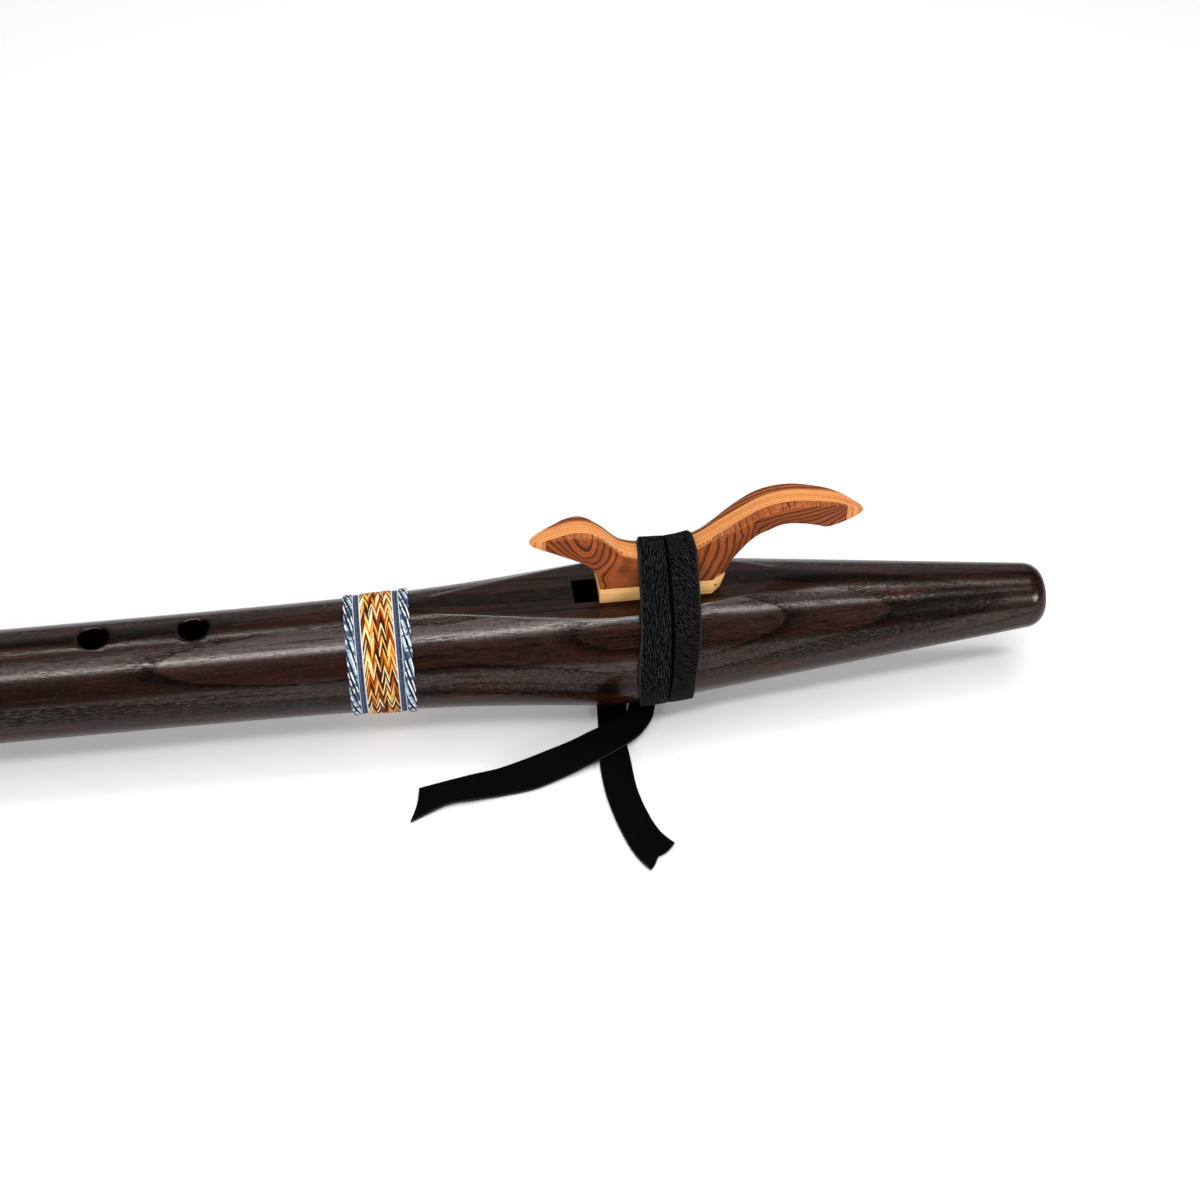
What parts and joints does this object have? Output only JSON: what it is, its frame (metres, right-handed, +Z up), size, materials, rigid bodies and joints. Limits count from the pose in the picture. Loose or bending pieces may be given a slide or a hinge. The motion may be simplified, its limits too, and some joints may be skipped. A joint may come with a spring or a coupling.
{
  "type": "native american flute",
  "caption": "End-blown wooden flute with a carved bird block tied over its nest by a flat leather strap, finger holes in a line and a woven band round the tube.",
  "frame": {"origin": "on the surface the flute lies on, under the middle of its length; that surface touches the plane underside of the strap's knot", "axes": "+X along the body from the foot to the mouth end, +Z up through the bird, +Y to the far side as pictured"},
  "size_m": [0.456, 0.0916, 0.0713],
  "materials": {
    "body_wood": "dark walnut brown with reddish grain, satin lacquer",
    "red_wood": "red-brown with dark curved growth lines, satin oil",
    "pale_orange_wood": "pale orange, satin oil",
    "dark_red_wood": "dark red-brown, satin oil",
    "pale_wood": "pale straw colour with a few dark specks, satin oil",
    "blue_cord": "twisted cord of navy, pale blue and white strands",
    "white_thread": "white thread",
    "navy_thread": "navy thread",
    "orange_braid": "braid of pale yellow, orange, rust and dark brown strands",
    "black_leather": "black, pebbled grain side",
    "black_suede": "black, matt flesh side"
  },
  "bodies": {
    "body": {"body_upper_half": "body_wood", "body_lower_half": "body_wood", "band_cord_left": "blue_cord", "band_thread_outer_left": "white_thread", "band_strip_left": "navy_thread", "band_thread_inner_left": "white_thread", "band_braid": "orange_braid", "band_thread_inner_right": "white_thread", "band_strip_right": "navy_thread", "band_thread_outer_right": "white_thread", "band_cord_right": "blue_cord"},
    "bird": {"bird_near_layer": "red_wood", "bird_core_layer": "pale_orange_wood", "bird_far_layer": "dark_red_wood", "bird_base_plate": "pale_wood", "strap_wrap": "black_leather", "strap_knot": "black_leather", "strap_tail_left": "black_suede", "strap_tail_right": "black_suede"}
  },
  "joints": [
    {"name": "bird_slide", "type": "slide", "parent": "body", "child": "bird", "axis": [1, 0, 0], "range_m": [-0.0015, 0.004]}
  ]
}
